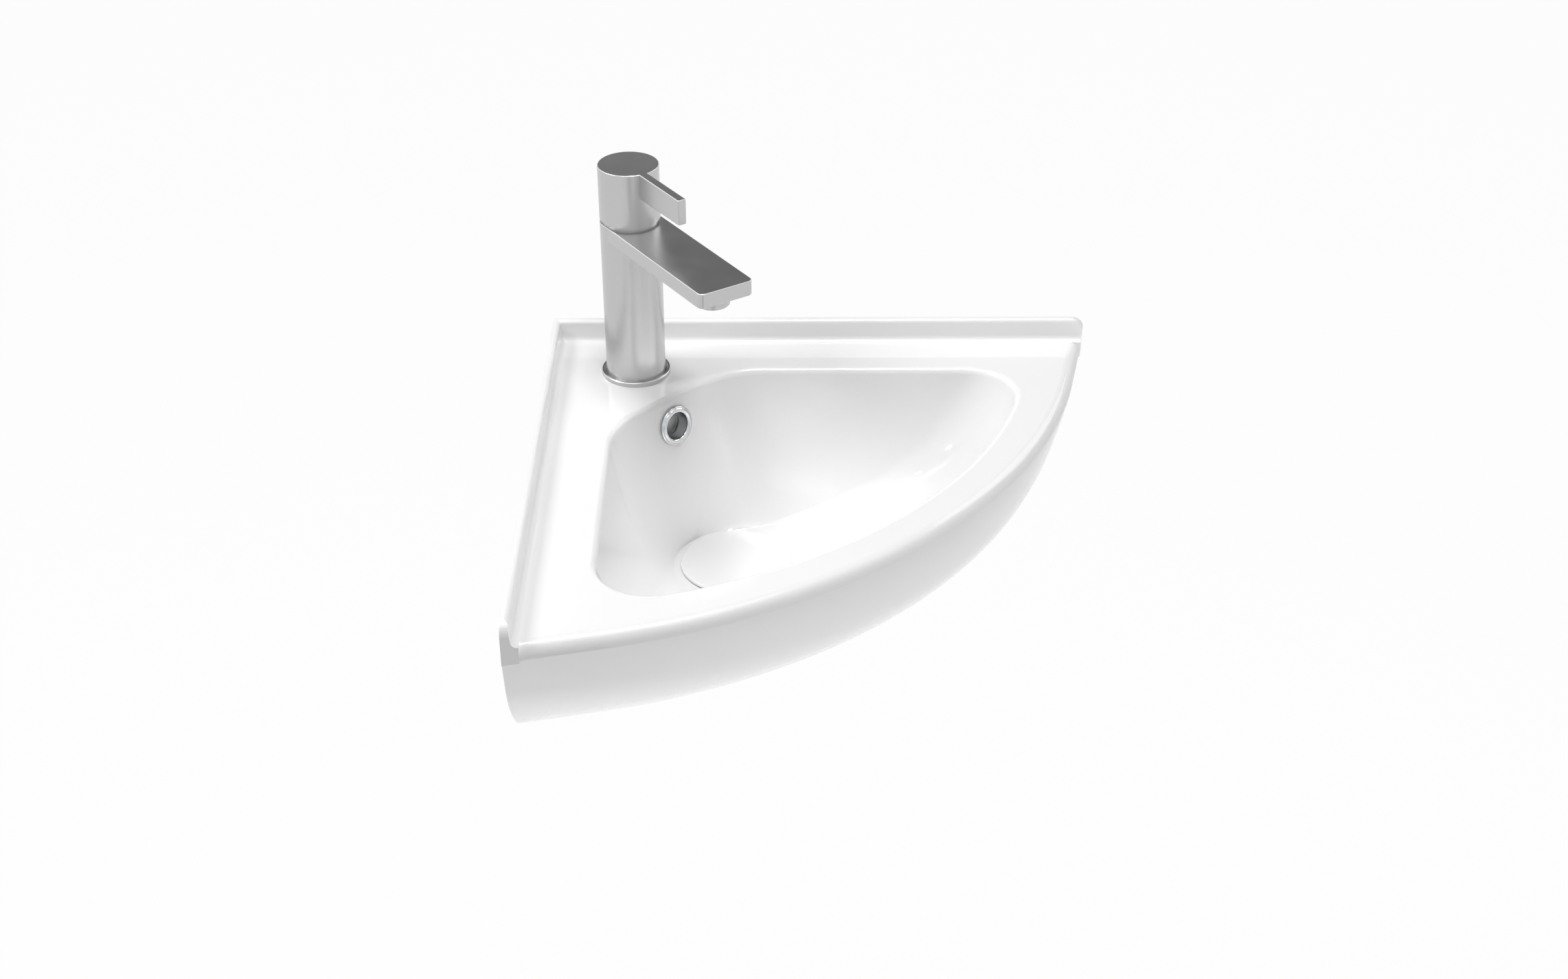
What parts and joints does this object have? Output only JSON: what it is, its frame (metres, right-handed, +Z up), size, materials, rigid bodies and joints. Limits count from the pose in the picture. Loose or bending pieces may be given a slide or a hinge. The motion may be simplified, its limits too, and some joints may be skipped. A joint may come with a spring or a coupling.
{
  "type": "corner basin",
  "caption": "Wall-hung ceramic corner basin with rounded front, lever tap, overflow ring and push waste.",
  "frame": {"origin": "the room corner at the level of the upstand's top, where both wall faces meet", "axes": "+X along the back wall, +Y into the back wall, -Y along the left wall, +Z up"},
  "size_m": [0.3988, 0.3988, 0.3532],
  "materials": {
    "glazed_ceramic": "glossy",
    "satin_steel": "satin",
    "polished_chrome": "polished",
    "rubber": "matte",
    "brass": "satin",
    "plastic": "matte",
    "spring_steel": "satin"
  },
  "bodies": {
    "fixture": {"basin": "glazed_ceramic", "overflow_ring": "polished_chrome", "tap_body": "satin_steel", "tap_base_ring": "satin_steel", "tap_base_seal": "rubber", "valve_cartridge": "brass", "valve_seal": "rubber", "valve_retaining_ring": "satin_steel", "aerator_housing": "satin_steel", "aerator_insert": "plastic", "aerator_seal": "rubber", "tap_shank": "brass", "shank_rubber_washer": "rubber", "shank_metal_washer": "spring_steel", "shank_nut": "brass", "waste_body": "polished_chrome", "waste_top_seal": "rubber", "waste_bottom_seal": "rubber", "waste_nut": "brass", "push_cartridge": "brass", "push_spring": "spring_steel"},
    "handle": {"tap_handle": "satin_steel", "handle_spindle": "brass", "handle_grub_screw": "spring_steel", "handle_cap": "satin_steel"},
    "stopper": {"waste_cover": "glazed_ceramic", "stopper_plug": "plastic", "stopper_seal": "rubber", "stopper_stem": "brass"}
  },
  "joints": [
    {"name": "handle_turn", "type": "hinge", "parent": "fixture", "child": "handle", "pos_m": [0.0643, -0.053, 0.106], "axis": [0, 0, 1], "range_deg": [0, 90]},
    {"name": "stopper_lift", "type": "slide", "parent": "fixture", "child": "stopper", "axis": [0, 0, 1], "range_m": [0, 0.008], "deforming": ["push_spring"]}
  ]
}
